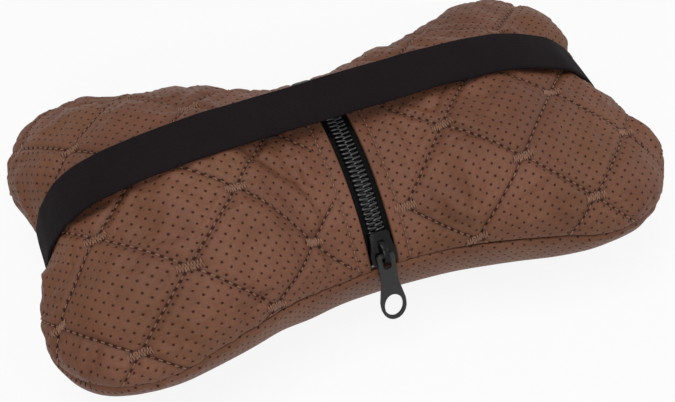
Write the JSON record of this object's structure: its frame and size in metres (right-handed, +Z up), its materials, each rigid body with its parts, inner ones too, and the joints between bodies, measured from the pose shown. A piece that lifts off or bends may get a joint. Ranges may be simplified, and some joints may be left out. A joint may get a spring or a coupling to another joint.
{
  "type": "car neck pillow",
  "caption": "Quilted perforated leatherette neck pillow, bone-shaped, with an elastic head-restraint strap and a coil zip across its back.",
  "frame": {"origin": "centre of the pillow's flat underside, on the surface that it lies on", "axes": "+X along the pillow, +Y across it and away from the zip slider's closed end, +Z up, out of the back with the zip and strap"},
  "size_m": [0.2921, 0.1667, 0.0939],
  "materials": {
    "leatherette": "brown perforated leatherette, matt with a soft sheen",
    "elastic": "black woven elastic, matt",
    "zip_tape": "black woven polyester tape",
    "nylon": "black nylon monofilament",
    "enamel": "black enamelled zinc, half gloss",
    "fibre": "white polyester fibre filling in its bag"
  },
  "bodies": {
    "pillow": {"front_panel": "leatherette", "back_panel_left": "leatherette", "back_panel_right": "leatherette", "inner_cushion": "fibre", "zipper_tape_left": "zip_tape", "zipper_tape_right": "zip_tape", "zipper_coil_left": "nylon", "zipper_coil_right": "nylon", "elastic_strap": "elastic"},
    "slider": {"zipper_slider": "enamel"},
    "tab": {"pull_tab": "enamel"}
  },
  "joints": [
    {"name": "zip_travel", "type": "hinge", "parent": "pillow", "child": "slider", "pos_m": [0, -0.005, 0.01713], "axis": [-1, 0, 0], "range_deg": [0, 110], "deforming": ["zipper_coil_left", "zipper_coil_right", "zipper_tape_left", "zipper_tape_right"]},
    {"name": "tab_swing", "type": "hinge", "parent": "slider", "child": "tab", "pos_m": [0, -0.06378, 0.05447], "axis": [-1, 0, 0], "range_deg": [0, 120]}
  ]
}
